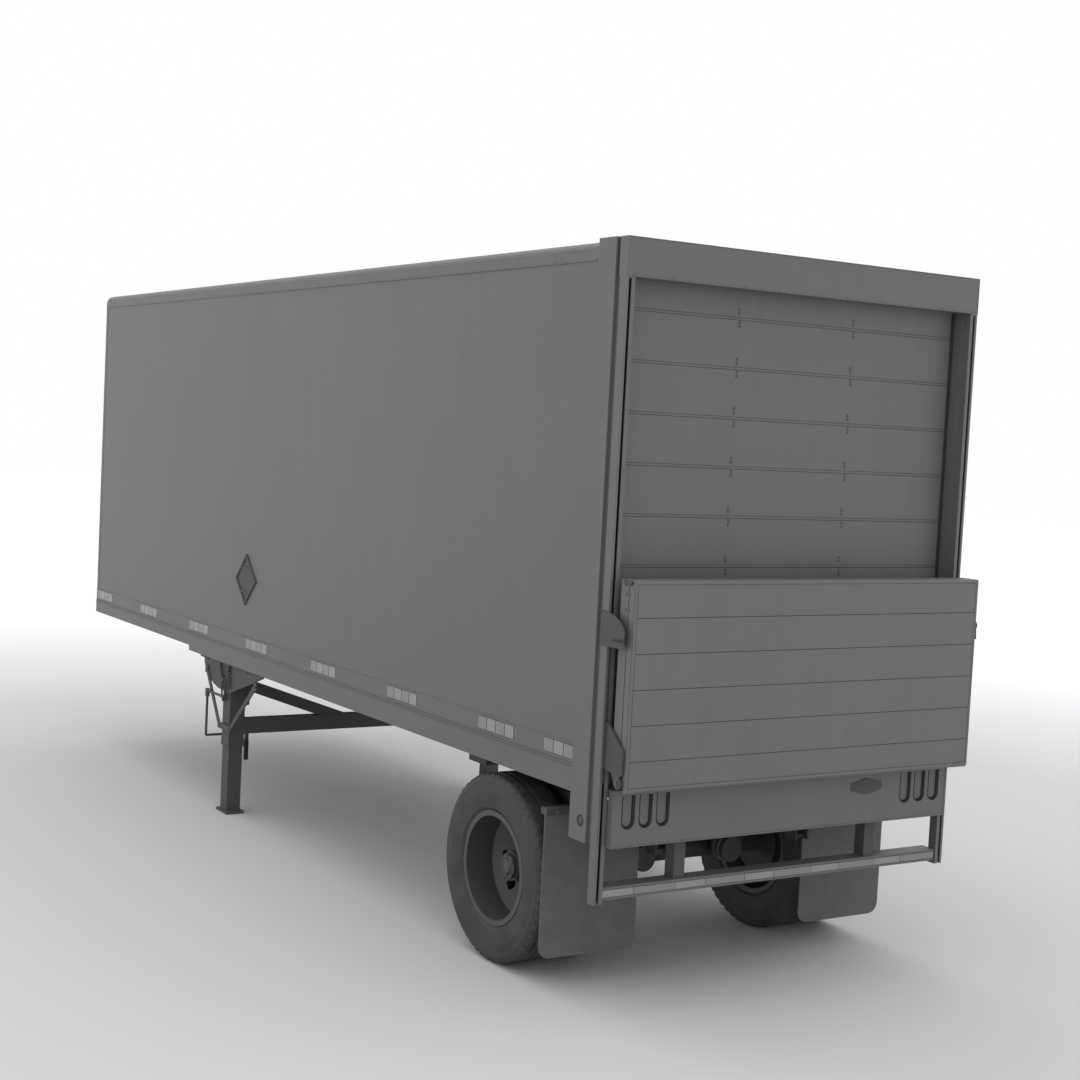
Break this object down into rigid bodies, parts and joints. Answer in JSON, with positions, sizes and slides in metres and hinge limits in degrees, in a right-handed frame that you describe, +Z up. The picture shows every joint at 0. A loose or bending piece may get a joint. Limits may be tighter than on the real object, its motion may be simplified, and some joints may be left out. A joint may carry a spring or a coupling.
{
  "type": "semi_trailer",
  "caption": "Single-axle box semi trailer with a closed roll-up rear door, landing legs, twin wheels and a rail lift whose folding platform is stowed upright",
  "frame": {"origin": "On the ground under the middle of the bounding box, midway along and across the trailer", "axes": "+X is the trailer's right side, +Y points forward to the king pin, +Z is up. The rear door faces -Y"},
  "size_m": [2.55, 8.533, 4.115],
  "materials": {
    "body_panel": "satin",
    "roof_skin": "satin",
    "frame_steel": "satin",
    "dark_steel": "rough",
    "door_skin": "satin",
    "deck_wood": "worn",
    "platform_metal": "satin",
    "tyre_rubber": "matte",
    "wheel_metal": "satin",
    "flap_rubber": "matte",
    "pin_steel": "machined"
  },
  "bodies": {
    "trailer": {"floor": "deck_wood", "cross_members": "frame_steel", "subframe": "frame_steel", "side_wall_left": "body_panel", "side_wall_right": "body_panel", "front_wall": "body_panel", "roof": "roof_skin", "top_rail_left": "body_panel", "top_rail_right": "body_panel", "bottom_rail_left": "body_panel", "bottom_rail_right": "body_panel", "coupler_plate": "frame_steel", "king_pin": "pin_steel", "rear_post_left": "body_panel", "rear_post_right": "body_panel", "rear_header": "body_panel", "rear_sill": "frame_steel", "rear_apron": "body_panel", "rear_door": "door_skin", "lift_column_left": "body_panel", "lift_column_right": "body_panel", "platform_latches": "frame_steel", "bumper_bar": "body_panel", "bumper_posts": "frame_steel", "landing_leg_left": "frame_steel", "landing_leg_right": "frame_steel", "leg_side_braces": "frame_steel", "leg_cross_brace": "frame_steel", "leg_crank": "frame_steel", "spring_hangers": "dark_steel", "leaf_springs": "dark_steel", "axle": "dark_steel", "brake_chambers": "dark_steel", "mud_flaps": "flap_rubber", "flap_brackets": "frame_steel", "placard_frames": "frame_steel", "air_tank": "frame_steel", "lift_power_box": "frame_steel", "service_box": "frame_steel"},
    "wheel_left": {"tyres_left": "tyre_rubber", "wheel_left": "wheel_metal"},
    "wheel_right": {"tyres_right": "tyre_rubber", "wheel_right": "wheel_metal"},
    "lift_carriage": {"lift_runner_left": "frame_steel", "lift_runner_right": "frame_steel"},
    "platform": {"platform_main": "platform_metal", "platform_lugs": "platform_metal"},
    "flip_link": {"platform_links": "frame_steel"},
    "flip": {"platform_flip": "platform_metal"}
  },
  "joints": [
    {"name": "wheel_left_spin", "type": "hinge", "parent": "trailer", "child": "wheel_left", "pos_m": [0, -2.9965, 0.55], "axis": [1, 0, 0], "continuous": true},
    {"name": "wheel_right_spin", "type": "hinge", "parent": "trailer", "child": "wheel_right", "pos_m": [0, -2.9965, 0.55], "axis": [1, 0, 0], "continuous": true},
    {"name": "lift_slide", "type": "slide", "parent": "trailer", "child": "lift_carriage", "axis": [0, 0, -1], "range_m": [0, 1.195]},
    {"name": "platform_hinge", "type": "hinge", "parent": "lift_carriage", "child": "platform", "pos_m": [0, -4.2115, 1.29], "axis": [1, 0, 0], "range_deg": [0, 92]},
    {"name": "link_hinge", "type": "hinge", "parent": "platform", "child": "flip_link", "pos_m": [0, -4.1775, 2.334], "axis": [-1, 0, 0], "range_deg": [0, 90]},
    {"name": "flip_hinge", "type": "hinge", "parent": "flip_link", "child": "flip", "pos_m": [0, -4.2265, 2.334], "axis": [-1, 0, 0], "range_deg": [0, 90]}
  ],
  "couplings": [
    {"joint": "flip_hinge", "follows": "link_hinge", "ratio": 1}
  ]
}
